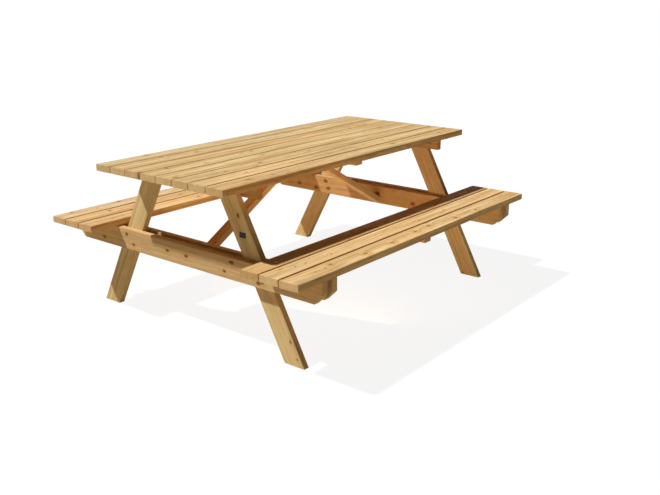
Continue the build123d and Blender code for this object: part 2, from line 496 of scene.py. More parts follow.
@dataclass(frozen=True)
class PineFinish:
    """Planed knotty pine with a clear honey-toned treatment, grown as rings round a pith by each plank."""

    early: Colour = (0.815, 0.565, 0.272)
    late: Colour = (0.640, 0.385, 0.140)
    red: Colour = (0.640, 0.330, 0.110)
    knot: Colour = (0.235, 0.100, 0.034)
    knot_rim: Colour = (0.130, 0.052, 0.020)
    # The seam colour is painted shade, laid along the gaps between boards.
    seam: Colour = (0.320, 0.118, 0.012)
    plain_tint: Span = (0.97, 1.05)
    shifts: Span = (5.0, 60.0)

    knots_per_metre: float = 2.2
    fewest_knots: int = 2
    knot_reach: Span = (0.48, 0.42)
    knot_apart: float = 0.05
    knot_radius: Span = (0.0030, 0.0072)
    seen_radius: Span = (0.0058, 0.0085)
    knot_shape: Point = (0.66, 1.0, 0.12)
    knot_waves: Pattern = Pattern((90.0, 140.0, 60.0), 2.0)
    knot_shift: float = 3.1
    knot_bend: Span = (0.7, 0.65)
    core_fade: Span = (0.72, 1.02)
    rim_place: float = 0.98
    rim_fade: Span = (0.04, 0.24)
    halo_fall: float = 0.22
    halo_red: float = 0.55
    knot_push: float = 1.7

    pith_across: float = 0.035
    pith_depth: Span = (0.035, 0.120)
    slow_bend: Pattern = Pattern((0.85, 3.0, 3.0), 1.0)
    wander: float = 0.016
    quick_bend: Pattern = Pattern((7.0, 70.0, 70.0), 3.0)
    jitter: float = 0.0026
    ring_spacing: float = 0.0048
    spacing_share: Span = (0.8, 1.35)
    first_year: float = 7.5
    ring_rise: Span = (0.30, 0.86)
    ring_fall: Span = (0.90, 1.0)
    ring_strength: Span = (0.35, 1.0)

    blotch: Pattern = Pattern((1.6, 9.0, 9.0), 2.0, (0.35, 0.75))
    blotch_red: float = 0.34
    streak: Pattern = Pattern((1.5, 62.0, 62.0), 4.0, (0.30, 0.72))
    streak_light: float = 0.4
    fibre: Pattern = Pattern((18.0, 420.0, 420.0), 2.0, (0.25, 0.75))
    fibre_shade: Span = (0.06, -0.10)
    fleck: Pattern = Pattern((11.0, 150.0, 150.0), 1.0, (0.60, 0.72))

    end_facing: Span = (0.55, 0.9)
    end_shade: float = 0.925
    end_calm: float = 0.75
    end_rings: float = 0.55
    end_rough: float = 0.15
    # Where the painted seam shade lies across the edge, and how it fades before the plank's ends.
    seam_width: float = 0.0058
    seam_edge: float = 0.0002
    seam_fade: Span = (0.022, 0.006)
    rough_span: Span = (0.3, 0.7)
    roughness: Span = (0.58, 0.76)
    gloss: float = 0.06
    late_relief: float = 0.5
    fibre_relief: float = 0.8
    relief: float = 0.35
    relief_depth: float = 0.0005

    layers = ("Core", "Rim", "Halo", "Push")

    def knots(self, timber: Timber, chance: random.Random) -> list[Knot]:
        """Choose a plank's knots: those that are seen, and others by chance.

        Args:
            timber: The plank.
            chance: The plank's own random numbers.

        Returns:
            The knots.
        """
        seen = SEEN_KNOTS.get(timber.node, ())
        sizes = KNOT_SIZES.get(timber.node, self.seen_radius)
        found = [Knot(along, across, chance.uniform(*sizes)) for along, across in seen]
        wanted = round(timber.length * self.knots_per_metre) - len(found)
        far_along, far_across = self.knot_reach
        for _ in range(max(self.fewest_knots, wanted)):
            along = chance.uniform(-far_along, far_along) * timber.length
            across = chance.uniform(-far_across, far_across) * timber.width
            radius = chance.uniform(*self.knot_radius)
            if all(abs(along - other.along) > self.knot_apart for other in found):
                found.append(Knot(along, across, radius))
        return found

    def knot_group(self) -> bpy.types.NodeTree:
        """Make, once, the node group that adds one knot to those before it.

        Returns:
            The group, which gives the knots' cores, rims and halos and how far they push the rings.
        """
        name = "knot"
        if name in bpy.data.node_groups:
            return bpy.data.node_groups[name]
        group = bpy.data.node_groups.new(name, "ShaderNodeTree")
        sheet = NodeSheet(group)
        for label in ("Place", "Middle"):
            group.interface.new_socket(name=label, in_out="INPUT", socket_type="NodeSocketVector")
        for label in ("Size", *self.layers):
            group.interface.new_socket(name=label, in_out="INPUT", socket_type="NodeSocketFloat")
        for label in self.layers:
            group.interface.new_socket(name=label, in_out="OUTPUT", socket_type="NodeSocketFloat")
        given = sheet.add("NodeGroupInput").outputs
        away = sheet.vector("SUBTRACT", given["Place"], given["Middle"])
        flat = sheet.vector("MULTIPLY", away, self.knot_shape)
        distance = sheet.vector("LENGTH", flat, output="Value")
        uneven = sheet.noise(given["Place"], self.knot_waves, self.knot_shift).outputs[0]
        bent = sheet.maths("MULTIPLY_ADD", uneven, *self.knot_bend)
        steps = sheet.maths("DIVIDE", sheet.times(distance, bent), given["Size"])
        core = sheet.span(steps, self.core_fade, FALLING)
        from_rim = sheet.maths("ABSOLUTE", sheet.maths("SUBTRACT", steps, self.rim_place))
        rim = sheet.span(from_rim, self.rim_fade, FALLING)
        halo = sheet.maths("EXPONENT", sheet.times(sheet.times(steps, steps), -self.halo_fall))
        push = sheet.times(sheet.times(halo, given["Size"]), self.knot_push)
        answers = {label: sheet.maths("MAXIMUM", given[label], value)
                   for label, value in zip(self.layers, (core, rim, halo))}
        sheet.add("NodeGroupOutput", Push=sheet.plus(given["Push"], push), **answers)
        return group

    def grown_knots(self, sheet: NodeSheet, place: Value, knots: Iterable[Knot]) -> dict[str, Value]:
        """Add a plank's knots one after another.

        Args:
            sheet: The plank's node tree.
            place: The plank's own coordinates.
            knots: Its knots.

        Returns:
            The last knot's outputs by name.
        """
        values: dict[str, Value] = dict.fromkeys(self.layers, 0.0)
        for knot in knots:
            middle = (knot.along, knot.across, 0.0)
            node = sheet.add("ShaderNodeGroup", place, middle, knot.radius, *values.values(),
                             mode=("node_tree", self.knot_group()))
            values = {label: node.outputs[label] for label in self.layers}
        return values

    def rings(self, sheet: NodeSheet, place: Value, push: Value, chance: random.Random) -> Socket:
        """Lay growth rings through the plank.

        Args:
            sheet: The plank's node tree.
            place: The plank's own coordinates.
            push: How far the knots push the rings aside.
            chance: The plank's own random numbers.

        Returns:
            How much latewood there is, from 0 to 1.
        """
        pith_across = chance.uniform(-self.pith_across, self.pith_across)
        pith_out = chance.choice(SIGNS) * chance.uniform(*self.pith_depth)
        slow = sheet.noise(place, self.slow_bend, chance.uniform(*self.shifts)).outputs["Color"]
        sway = sheet.vector("SUBTRACT", slow, NOISE_MIDDLE)
        bend = sheet.vector("MULTIPLY", sway, (0.0, 2 * self.wander, 2 * self.wander))
        middle = sheet.vector("SUBTRACT", place, (0.0, pith_across, pith_out))
        across = sheet.vector("MULTIPLY", sheet.vector("ADD", middle, bend), (0.0, 1.0, 1.0))
        radius = sheet.vector("LENGTH", across, output="Value")
        quick = sheet.noise(place, self.quick_bend, chance.uniform(*self.shifts)).outputs[0]
        rough = sheet.maths("MULTIPLY_ADD", quick, self.jitter, radius)
        spacing = self.ring_spacing * chance.uniform(*self.spacing_share)
        count = sheet.maths("DIVIDE", sheet.plus(rough, push), spacing)
        number = sheet.plus(sheet.maths("FLOOR", count), self.first_year)
        year = sheet.add("ShaderNodeTexWhiteNoise", W=number, mode=("noise_dimensions", "1D"))
        share = sheet.maths("FRACT", count)
        rise = sheet.span(share, self.ring_rise, RISING)
        fall = sheet.span(share, self.ring_fall, FALLING)
        strength = sheet.span(year.outputs["Value"], RISING, self.ring_strength)
        return sheet.times(sheet.times(rise, fall), strength)

    def paint_seam_shade(self, sheet: NodeSheet, place: Value, timber: Timber, colour: Value) -> Value:
        """Paint shade along the edges that close up to a neighbour, standing in for the shadow in the gap,
        but not at their ends.

        Args:
            sheet: The plank's node tree.
            place: The plank's own coordinates.
            timber: The plank, which may have seams.
            colour: The wood's colour so far.

        Returns:
            The colour with the painted seam shade.
        """
        half = timber.width / 2
        edge = (half - self.seam_width, half - self.seam_edge)
        own = sheet.add("ShaderNodeSeparateXYZ", Vector=place).outputs
        fade = tuple(timber.length / 2 - back for back in self.seam_fade)
        inside = sheet.span(sheet.maths("ABSOLUTE", own["X"]), fade, FALLING)
        for side, depth in timber.seam_shades:
            share = sheet.span(sheet.times(own["Y"], float(side)), edge, (0.0, depth))
            colour = sheet.mixed(sheet.times(share, inside), colour, self.seam)
        return colour

    def material(self, timber: Timber, seed: int) -> bpy.types.Material:
        """Make one plank's own pine.

        Args:
            timber: The plank, whose directions the grain follows.
            seed: Makes the plank's grain its own.

        Returns:
            The material.
        """
        chance = random.Random(seed)
        figure = FIGURES[timber.slot]
        material, sheet = new_material(f"{timber.node}_pine")
        source = sheet.add("ShaderNodeTexCoord").outputs
        place = sheet.add("ShaderNodeMapping", source["Object"], timber.centre, timber.place().to_euler(),
                          mode=("vector_type", "TEXTURE")).outputs[0]

        knots = self.grown_knots(sheet, place, self.knots(timber, chance))
        facing = sheet.vector("DOT_PRODUCT", source["Normal"], tuple(timber.along), output="Value")
        end = sheet.span(sheet.maths("ABSOLUTE", facing), self.end_facing, RISING)
        rings = self.rings(sheet, place, knots["Push"], chance)
        shown = sheet.maths("MULTIPLY_ADD", end, figure.rings * (self.end_rings - 1.0), figure.rings)
        late = sheet.times(rings, shown)
        # Listed planks take painted shade and painted light along with their tone; the rest get a random
        # tone.
        tone_and_painted_light = TONES_AND_PAINTED_LIGHT.get(timber.node, (chance.uniform(*self.plain_tint),) * 3)
        woods = (tuple(map(operator.mul, wood, tone_and_painted_light)) for wood in (self.early, self.late))
        colour = sheet.mixed(late, *woods)

        blotch, streak, fibre, fleck = (
            sheet.noise(place, pattern, chance.uniform(*self.shifts)).outputs[0]
            for pattern in (self.blotch, self.streak, self.fibre, self.fleck)
        )
        warm = sheet.span(blotch, self.blotch.span, (0.0, self.blotch_red))
        colour = sheet.mixed(warm, colour, self.red)
        bold = figure.streaks
        lines = sheet.plus(sheet.span(streak, self.streak.span, (self.streak_light * bold, -bold)),
                           sheet.span(fibre, self.fibre.span, self.fibre_shade))
        lines = sheet.plus(lines, sheet.span(fleck, self.fleck.span, (0.0, -bold)))
        calm = sheet.maths("MULTIPLY_ADD", end, -self.end_calm, 1.0)
        colour = sheet.vector("MULTIPLY", colour, sheet.maths("MULTIPLY_ADD", lines, calm, 1.0))

        stains = (("Halo", self.halo_red, self.red), ("Core", figure.core, self.knot),
                  ("Rim", figure.rim, self.knot_rim))
        for layer, depth, stain in stains:
            colour = sheet.mixed(sheet.times(knots[layer], depth), colour, stain)
        # Painted shade in the gaps between boards.
        colour = self.paint_seam_shade(sheet, place, timber, colour)
        shade = sheet.maths("MULTIPLY_ADD", end, self.end_shade - 1.0, 1.0)
        colour = sheet.vector("MULTIPLY", colour, shade)

        satin = sheet.span(streak, self.rough_span, self.roughness)
        rough = sheet.plus(satin, sheet.times(end, self.end_rough))
        fibres = sheet.times(fibre, self.fibre_relief)
        height = sheet.maths("MULTIPLY_ADD", late, self.late_relief, fibres)
        sheet.surface(Base_Color=colour, Roughness=rough, Specular_IOR_Level=self.gloss,
                      Normal=sheet.bumped(height, self.relief, self.relief_depth))
        return material


@dataclass(frozen=True)
class SpeckledFinish:
    """A plain coat with fine clouds of a second colour in it, and a little relief where it has any."""

    name: str
    coat: Colour
    cloud: Colour
    pattern: Pattern
    shift: float
    roughness: Span
    metallic: float = 0.0
    gloss: float = 0.5
    relief: float = 0.0
    relief_depth: float = 0.0002
    rough_span: Span = (0.3, 0.7)

    def material(self) -> bpy.types.Material:
        """Make the coat.

        Returns:
            The material.
        """
        material, sheet = new_material(self.name)
        place = sheet.add("ShaderNodeTexCoord").outputs["Object"]
        clouds = sheet.noise(place, self.pattern, self.shift).outputs[0]
        share = sheet.span(clouds, self.pattern.span, RISING)
        inputs = {
            "Base_Color": sheet.mixed(share, self.coat, self.cloud),
            "Roughness": sheet.span(clouds, self.rough_span, self.roughness),
            "Metallic": self.metallic,
            "Specular_IOR_Level": self.gloss,
        }
        if self.relief:
            inputs["Normal"] = sheet.bumped(clouds, self.relief, self.relief_depth)
        sheet.surface(**inputs)
        return material


YELLOW_ZINC = SpeckledFinish(
    "yellow_zinc", (0.640, 0.480, 0.220), (0.360, 0.250, 0.110),
    Pattern((260.0, 260.0, 260.0), 3.0, (0.35, 0.7)), shift=4.0, roughness=(0.34, 0.55), metallic=1.0,
)
MATT_BLACK = SpeckledFinish(
    "matt_black", (0.012, 0.011, 0.012), (0.040, 0.036, 0.034),
    Pattern((900.0, 900.0, 900.0), 3.0, (0.4, 0.75)), shift=2.0, roughness=(0.45, 0.62),
    gloss=0.2, relief=0.2,
)


@dataclass(frozen=True)
class Screw:
    """One screw: the middle of its head, the way it points, its length and how deep its head is sunk."""

    head: Vector
    into: Vector
    length: float
    recess: float = 0.0

    def place(self, sink: float) -> Matrix:
        """Where the screw goes, its own axis running from the head down and its head sunk a little."""
        turn = (-self.into).to_track_quat("Z", "Y").to_matrix().to_4x4()
        return Matrix.Translation(self.head + self.into * sink) @ turn

    def points(self, count: int = 24) -> list[Vector]:
        """Points along the screw from its head to its tip."""
        return [self.head + self.into * (self.length * step / count) for step in range(count + 1)]


@dataclass(frozen=True)
class ScrewGroup:
    """Screws of one kind in the quarter where X and Y are positive, which the other quarters mirror."""

    heads: Sequence[Point]
    into: Point
    length: float
    recess: float = 0.0

    def screws(self) -> list[Screw]:
        """Mirror the screws into every quarter.

        Returns:
            All the screws of the group.
        """
        found = []
        ends = SIGNS if self.heads[0][0] else (1,)
        for end in ends:
            into = Vector((end * self.into[0], self.into[1], self.into[2]))
            for x, y, z in self.heads:
                for side in SIGNS:
                    found.append(Screw(Vector((end * x, side * y, z)), into, self.length, self.recess))
        return found


UP = (0, 0, 1)
DOWN = (0, 0, -1)
IN = (-1, 0, 0)
OUT = (1, 0, 0)
BOARD_Y = (0.0495, 0.1485, 0.2475, 0.3465)
SEAT_Y = (0.5205, 0.6215, 0.7225)
INNER_X = 0.684
OUTER_X = 0.744
INNER_FACE = 0.669
OUTER_FACE = 0.759
SEAT_TOP = 0.440
SEAT_BATTEN_FACE = 0.388
TOP_BATTEN_FACE = 0.688
TOP_RECESS_FLOOR = 0.674
PLANK_SCREW = 0.052
BATTEN_SCREW = 0.044
BEARER_SCREW = 0.058
BRACE_SCREW = 0.0562

SCREW_GROUPS: dict[str, ScrewGroup] = {
    "top_bearer_screws": ScrewGroup(
        [(INNER_X, y, TOP_RECESS_FLOOR) for y in BOARD_Y], UP, BEARER_SCREW, recess=0.014
    ),
    "top_batten_screws": ScrewGroup([(0.0, y, TOP_BATTEN_FACE) for y in BOARD_Y], UP, BATTEN_SCREW),
    "seat_board_screws": ScrewGroup(
        [(x, y, SEAT_TOP) for x in (INNER_X, OUTER_X) for y in SEAT_Y], DOWN, PLANK_SCREW
    ),
    "seat_batten_screws": ScrewGroup([(0.0, y, SEAT_BATTEN_FACE) for y in SEAT_Y], UP, BATTEN_SCREW),
    "outer_leg_screws": ScrewGroup(
        [(OUTER_FACE, 0.4148, 0.3389), (OUTER_FACE, 0.3913, 0.3831)], IN, PLANK_SCREW
    ),
    "inner_leg_screws": ScrewGroup(
        [(INNER_FACE, 0.4251, 0.3727), (INNER_FACE, 0.3810, 0.3493)], OUT, PLANK_SCREW
    ),
    "leg_top_screws": ScrewGroup(
        [(INNER_FACE, 0.198, 0.672), (INNER_FACE, 0.198, 0.698)], OUT, PLANK_SCREW
    ),
    "brace_foot_screws": ScrewGroup([(0.699, 0.015, 0.3374)], IN, PLANK_SCREW),
    "brace_head_screws": ScrewGroup([(0.039, 0.015, 0.6758)], UP, BRACE_SCREW, recess=0.008),
}


@dataclass
class Fixings:
    """Every screw in the table, and the holes that are drilled for them."""

    head_radius: float = 0.0048
    crown_share: float = 0.97
    shank_radius: float = 0.0025
    tip_radius: float = 0.0003
    tip_length: float = 0.007
    head_depth: float = 0.0023
    head_rim: float = 0.0003
    sink: float = 0.0004
    clearance: float = 0.00015
    drill_reach: float = 0.008
    star_radius: float = 0.0021
    star_limit: float = 0.003
    star_depth: float = 0.0014
    star_lobe: float = 1.16
    star_valley: float = 0.82
    star_taper: float = 0.85
    sides: int = 24
    sides_per_lobe: int = 4
    smooth_angle: float = math.radians(30)
    groups: dict[str, list[Screw]] = field(
        default_factory=lambda: {name: group.screws() for name, group in SCREW_GROUPS.items()}
    )
    finish: SpeckledFinish = YELLOW_ZINC

    def outline(self, length: float, extra: float = 0.0) -> list[Span]:
        """Draw a screw below its head, or the hole for it.

        Args:
            length: From the head's top to the tip.
            extra: How much wider the hole is all round.

        Returns:
            The radius and height of each ring, downwards.
        """
        shank = self.shank_radius + extra
        return [
            (self.head_radius + extra, -self.head_rim),
            (shank, -self.head_depth - self.head_rim),
            (shank, -length + self.tip_length),
            (self.tip_radius + extra, -length - extra),
        ]

    def in_star(self, corner: bmesh.types.BMVert) -> bool:
        """Whether a corner of the screw belongs to the star in its crown."""
        return abs(corner.co.z) < TOLERANCE and corner.co.xy.length < self.star_limit

    def lobe_step(self, corner: bmesh.types.BMVert) -> int:
        """How many sides round a corner of the star is from the last lobe, or -1 outside the star."""
        turn = round(math.atan2(corner.co.y, corner.co.x) / (2 * math.pi) * self.sides)
        return turn % self.sides_per_lobe if self.in_star(corner) else -1

    def model_screw(self, length: float) -> Piece:
        """Model a countersunk screw with a star recess in its head.

        Args:
            length: From the head's top to the tip.

        Returns:
            The screw, pointing down from the origin.
        """
        crown = self.head_radius * self.crown_share
        screw = turned("screw", [(crown, 0.0), *self.outline(length)], self.sides)
        bpy.ops.object.mode_set(mode="EDIT")
        pick(screw, Part.FACE, lambda face: all(abs(corner.co.z) < TOLERANCE for corner in face.verts))
        bpy.ops.mesh.inset(thickness=crown - self.star_radius)
        for step, share in ((0, self.star_lobe), (self.sides_per_lobe // 2, self.star_valley)):
            pick(screw, Part.CORNER, lambda corner: self.lobe_step(corner) == step)
            bpy.ops.transform.resize(value=(share, share, 1), center_override=(0, 0, 0))
        pick(screw, Part.FACE, lambda face: all(self.in_star(corner) for corner in face.verts))
        floor = (0, 0, -self.star_depth)
        bpy.ops.mesh.extrude_region_move(TRANSFORM_OT_translate={"value": floor})
        bpy.ops.transform.resize(value=(self.star_taper, self.star_taper, 1), center_override=floor)
        bpy.ops.object.mode_set(mode="OBJECT")
        bpy.ops.object.shade_smooth_by_angle(angle=self.smooth_angle)
        return screw

    def model_drill(self, screw: Screw) -> Piece:
        """Model the hole that a screw needs, reaching well out past its head."""
        mouth = (self.head_radius + self.clearance, screw.recess + self.drill_reach)
        return turned("drill", [mouth, *self.outline(screw.length, self.clearance)], self.sides)

    def drill(self, piece: Piece, timber: Timber) -> int:
        """Cut the holes of all the screws that pass through a plank.

        Args:
            piece: The plank's object, in place.
            timber: The plank's sizes and place.

        Returns:
            How many holes were cut.
        """
        found = [
            screw for group in self.groups.values() for screw in group
            if any(timber.holds(point) for point in screw.points())
        ]
        if not found:
            return 0
        patterns = {}
        holes = []
        for screw in found:
            kind = (screw.length, screw.recess)
            if kind not in patterns:
                patterns[kind] = self.model_drill(screw)
            holes.append(copy_of(patterns[kind], "hole", screw.place(self.sink)))
        discard(patterns.values())
        tool = joined(holes)
        focus(piece)
        bpy.ops.object.modifier_add(type="BOOLEAN")
        cut = piece.modifiers[-1]
        cut.operation = "DIFFERENCE"
        cut.solver = "EXACT"
        cut.object = tool
        bpy.ops.object.modifier_apply(modifier=cut.name)
        discard([tool])
        return len(found)

    def build(self) -> None:
        """Model the screws of every group, each group one piece."""
        plating = self.finish.material()
        for name, screws in self.groups.items():
            pattern = self.model_screw(screws[0].length)
            pattern.data.materials.append(plating)
            piece = joined([copy_of(pattern, f"{name}_set", screw.place(self.sink)) for screw in screws])
            discard([pattern])
            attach(piece, BODY)
            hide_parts(name)
            LOG.info("%s: %d screws", piece.name, len(screws))


@dataclass
class Workshop:
    """Models each shape of plank once, copies it into place, drills it and gives it its pine."""

    fixings: Fixings
    finish: PineFinish
    long_edge: float = 0.0027
    long_steps: int = 3
    end_edge: float = 0.0008
    end_steps: int = 2
    straight: float = 0.999
    slant: float = 0.1
    smooth_angle: float = math.radians(35)
    first_seed: int = 101
    shapes: dict[tuple, Piece] = field(default_factory=dict)
    made: int = 0

    def bounds_end(self, edge: bmesh.types.BMEdge) -> bool:
        """Whether an edge bounds one of a plank's end cuts."""
        return any(abs(face.normal.x) > self.slant for face in edge.link_faces)

    def model(self, timber: Timber) -> Piece:
        """Model a plank about the origin, lying along X, with its ends cut and its edges eased.

        Args:
            timber: The plank's sizes and cuts.

        Returns:
            The plank.
        """
        plank = box("plank_pattern", timber.size())
        for cut in timber.cuts:
            normal = Vector(cut.normal).normalized()
            point = normal * cut.reach
            bpy.ops.mesh.select_all(action="SELECT")
            bpy.ops.mesh.bisect(plane_co=point, plane_no=normal, use_fill=True, clear_outer=True)
        pick(plank, Part.EDGE, lambda edge: abs(edge_way(edge).x) > self.straight)
        bpy.ops.mesh.bevel(offset=self.long_edge, segments=self.long_steps, clamp_overlap=True)
        pick(plank, Part.EDGE, self.bounds_end)
        bpy.ops.mesh.bevel(offset=self.end_edge, segments=self.end_steps, clamp_overlap=True)
        bpy.ops.object.mode_set(mode="OBJECT")
        return plank

    def plank(self, timber: Timber) -> None:
        """Make one finished plank, which stands for its CAD node.

        Args:
            timber: Its sizes, place and node.
        """
        shape = (timber.size(), timber.cuts)
        if shape not in self.shapes:
            self.shapes[shape] = self.model(timber)
        piece = copy_of(self.shapes[shape], f"{timber.node}_plank", timber.place())
        holes = self.fixings.drill(piece, timber)
        focus(piece)
        bpy.ops.object.shade_smooth_by_angle(angle=self.smooth_angle)
        bpy.ops.object.modifier_add(type="WEIGHTED_NORMAL")
        piece.modifiers[-1].keep_sharp = True
        bpy.ops.object.modifier_apply(modifier=piece.modifiers[-1].name)
        piece.data.materials.clear()
        piece.data.materials.append(self.finish.material(timber, self.first_seed + self.made))
        self.made += 1
        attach(piece, BODY)
        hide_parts(timber.node)
        LOG.info("%s: %d holes, %d faces", piece.name, holes, len(piece.data.polygons))

    def sweep_up(self) -> None:
        """Remove the patterns that the planks were copied from."""
        discard(self.shapes.values())
        self.shapes.clear()


class Carpentry:
    """A sub-assembly that is made of planks alone."""

    def timbers(self) -> list[Timber]:
        """Set out the planks in the order in which they are made."""
        raise NotImplementedError

    def build(self, workshop: Workshop) -> None:
        """Make the planks."""
        for timber in self.timbers():
            workshop.plank(timber)


@dataclass
class BoardRow(Carpentry):
    """Boards side by side, counted towards one long side, and the batten across their middle."""

    side: Side
    name: str
    slot: Slot
    height: float
    middle_y: float
    gap: float
    # How dark the painted shade is in each gap between neighbouring boards, one value a seam.
    seam_shades: tuple[float, ...]
    batten_length: float
    board_length: float = 1.8
    board_width: float = 0.095
    board_thickness: float = 0.030
    batten_width: float = 0.050
    batten_thickness: float = 0.022

    def seam_shades_of(self, count: int) -> tuple[tuple[int, float], ...]:
        """The sides on which a board has a neighbour, by their sign, and how dark the painted shade in
        each seam is.
        """
        sides = ((-self.side.value, count - 1), (self.side.value, count))
        return tuple((way, self.seam_shades[seam]) for way, seam in sides if 0 <= seam < len(self.seam_shades))

    def timbers(self) -> list[Timber]:
        """Set out the boards in order, then the batten.

        Returns:
            The planks.
        """
        size = (self.board_length, self.board_width, self.board_thickness)
        height = self.height - self.board_thickness / 2
        found = []
        for count in range(len(self.seam_shades) + 1):
            steps = count - len(self.seam_shades) / 2
            y = self.side.value * (self.middle_y + steps * (self.board_width + self.gap))
            board = f"{self.name}_board_{count + 1}"
            place = (Vector((0, y, height)), ALONG_X, ALONG_Y)
            found.append(Timber(board, self.slot, *place, *size, seam_shades=self.seam_shades_of(count)))
        size = (self.batten_length, self.batten_width, self.batten_thickness)
        height = self.height - self.board_thickness - self.batten_thickness / 2
        place = (Vector((0, self.side.value * self.middle_y, height)), ALONG_Y, ALONG_X)
        found.append(Timber(f"{self.name}_batten", Slot.FRAME, *place, *size))
        return found


@dataclass
class Tabletop(BoardRow):
    """The tabletop's eight boards, from front to rear, and their batten."""

    side: Side = Side.REAR
    name: str = "top"
    slot: Slot = Slot.TABLETOP
    height: float = 0.740
    middle_y: float = 0.0
    gap: float = 0.004
    # Painted shade in each gap, front to rear.
    seam_shades: tuple[float, ...] = (1.0, 0.70, 0.50, 0.22, 0.36, 0.72, 0.22)
    batten_length: float = 0.740


@dataclass
class Bench(BoardRow):
    """One bench's three boards, from the table outwards, and their batten."""

    name: str = field(init=False)
    slot: Slot = Slot.BENCH
    height: float = 0.440
    middle_y: float = 0.6215
    gap: float = 0.006
    # Painted shade in each gap, from the table outwards.
    seam_shades: tuple[float, ...] = (0.70, 0.80)
    batten_length: float = 0.273

    def __post_init__(self) -> None:
        """Name the bench after its side."""
        self.name = f"{self.side.name.lower()}_seat"


@dataclass
class EndFrame(Carpentry):
    """One end frame: two leaning legs between an outer and an inner seat bearer, and a top bearer."""

    end: End
    leg_x: float = 0.714
    leg_width: float = 0.095
    leg_thickness: float = 0.030
    leg_height: float = 0.710
    foot_spread: float = 1.190
    head_spread: float = 0.435
    outer_x: float = 0.744
    inner_x: float = 0.684
    bearer_length: float = 1.540
    bearer_width: float = 0.098
    bearer_thickness: float = 0.030
    bearer_top: float = 0.410
    corner_cut: float = 0.042
    top_bearer_length: float = 0.768
    top_bearer_width: float = 0.050
    top_bearer_top: float = 0.710

    def legs(self) -> list[Timber]:
        """Set out the two legs, cut level at foot and head.

        Returns:
            The front leg and the rear leg.
        """
        lean = math.atan((self.foot_spread - self.head_spread) / 2 / self.leg_height)
        sine, cosine = math.sin(lean), math.cos(lean)
        half = self.leg_height / 2
        middle_y = (self.foot_spread + self.head_spread) / 4
        cuts = (Cut((cosine, -sine, 0), half), Cut((-cosine, sine, 0), half))
        rough_length = self.leg_height / cosine + 2 * self.leg_width
        size = (rough_length, self.leg_width, self.leg_thickness)
        found = []
        for side in Side:
            way = side.value
            centre = Vector((self.end.value * self.leg_x, way * middle_y, half))
            along = Vector((0, -way * sine, cosine))
            across = Vector((0, -way * cosine, -sine))
            name = f"{self.end.name.lower()}_{side.name.lower()}_leg"
            found.append(Timber(name, Slot.FRAME, centre, along, across, *size, cuts))
        return found

    def bearers(self) -> list[Timber]:
        """Set out the bearers.

        Returns:
            The outer and inner seat bearers and the top bearer.
        """
        slope = math.sqrt(0.5)
        reach = (self.bearer_length / 2 - self.corner_cut + self.bearer_width / 2) * slope
        cuts = (Cut((slope, -slope, 0), reach), Cut((-slope, -slope, 0), reach))
        seat = (self.bearer_length, self.bearer_width, self.bearer_thickness, cuts)
        top = (self.top_bearer_length, self.top_bearer_width, self.bearer_thickness)
        seat_z = self.bearer_top - self.bearer_width / 2
        top_z = self.top_bearer_top - self.top_bearer_width / 2
        kinds = (
            ("outer", self.outer_x, seat_z, seat),
            ("inner", self.inner_x, seat_z, seat),
            ("top", self.inner_x, top_z, top),
        )
        found = []
        for kind, x, z, size in kinds:
            name = f"{self.end.name.lower()}_{kind}_bearer"
            centre = Vector((self.end.value * x, 0, z))
            found.append(Timber(name, Slot.FRAME, centre, ALONG_Y, ALONG_Z, *size))
        return found

    def timbers(self) -> list[Timber]:
        """Set out the legs, then the bearers."""
        return self.legs() + self.bearers()


@dataclass
class Bracing(Carpentry):
    """The two braces from the inner seat bearers up to the middle of the tabletop."""

    foot_x: float = 0.669
    head_x: float = 0.025
    foot_underside: float = 0.314
    head_top: float = 0.710
    width: float = 0.050
    thickness: float = 0.030

    def timbers(self) -> list[Timber]:
        """Set out both braces, with plumb cuts at foot and head.

        Returns:
            The left brace and the right brace.
        """
        run = self.foot_x - self.head_x
        rise = self.head_top - self.foot_underside
        slope = math.atan2(rise, run) - math.asin(self.thickness / math.hypot(run, rise))
        sine, cosine = math.sin(slope), math.cos(slope)
        cuts = (Cut((cosine, 0, -sine), run / 2), Cut((-cosine, 0, sine), run / 2))
        size = (run / cosine + 2 * self.thickness, self.width, self.thickness)
        height = (self.foot_underside + self.head_top) / 2
        found = []
        for end in End:
            centre = Vector((end.value * (self.foot_x + self.head_x) / 2, 0, height))
            along = Vector((-end.value * cosine, 0, sine))
            across = Vector((0, -end.value, 0))
            name = f"{end.name.lower()}_brace"
            found.append(Timber(name, Slot.FRAME, centre, along, across, *size, cuts))
        return found


